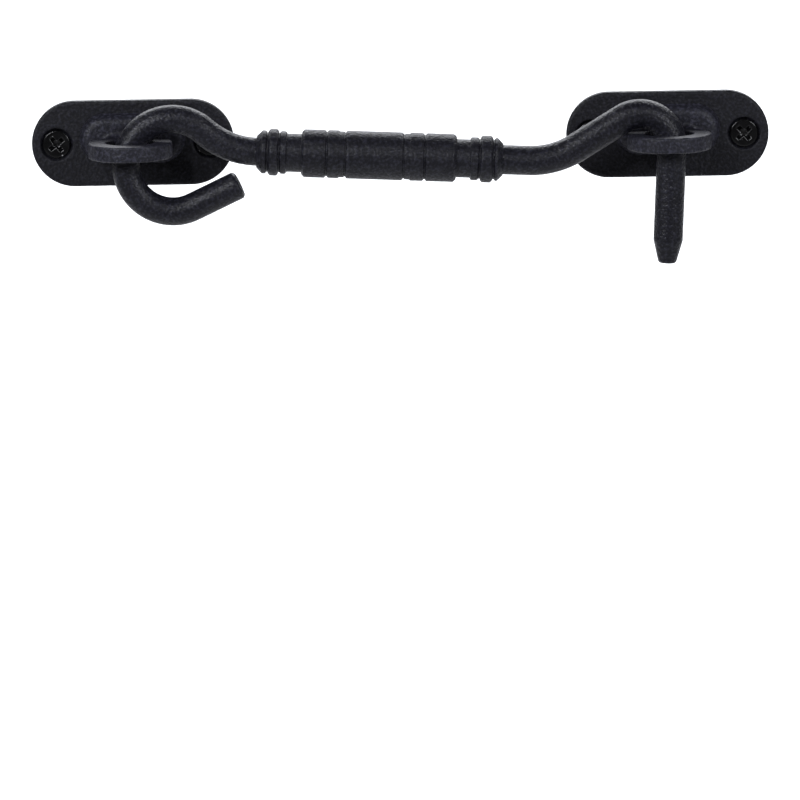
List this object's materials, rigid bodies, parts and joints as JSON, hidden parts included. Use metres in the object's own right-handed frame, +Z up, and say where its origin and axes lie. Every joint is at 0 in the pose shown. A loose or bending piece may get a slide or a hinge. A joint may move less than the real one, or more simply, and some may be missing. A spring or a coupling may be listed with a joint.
{
  "type": "cabin hook latch",
  "caption": "Cabin hook latch: a bent rod with a turned sleeve, captive in the eye of one plate, drops its pin into the eye of a second plate.",
  "frame": {"origin": "centre of the pivot plate's back face, which lies on the wall plane y = 0", "axes": "+X along the wall from the pivot plate to the staple plate, +Y into the wall along the screws, +Z up"},
  "size_m": [0.193, 0.0426, 0.0436],
  "materials": {
    "coated_plate": "fine sand-textured black powder coat",
    "coated_eye": "fine sand-textured black powder coat",
    "coated_rod": "fine sand-textured black powder coat",
    "coated_sleeve": "fine sand-textured black powder coat",
    "black_screw": "smooth black oxide, half gloss"
  },
  "bodies": {
    "fixings": {"pivot_plate": "coated_plate", "pivot_eye": "coated_eye", "pivot_screw_outer": "black_screw", "pivot_screw_inner": "black_screw", "staple_plate": "coated_plate", "staple_eye": "coated_eye", "staple_screw_inner": "black_screw", "staple_screw_outer": "black_screw"},
    "hook": {"hook_rod": "coated_rod", "hook_sleeve": "coated_sleeve"}
  },
  "joints": [
    {"name": "lift", "type": "hinge", "parent": "fixings", "child": "hook", "pos_m": [0.01095, -0.0155, -0.00425], "axis": [0, -1, 0], "range_deg": [0, 130]}
  ]
}
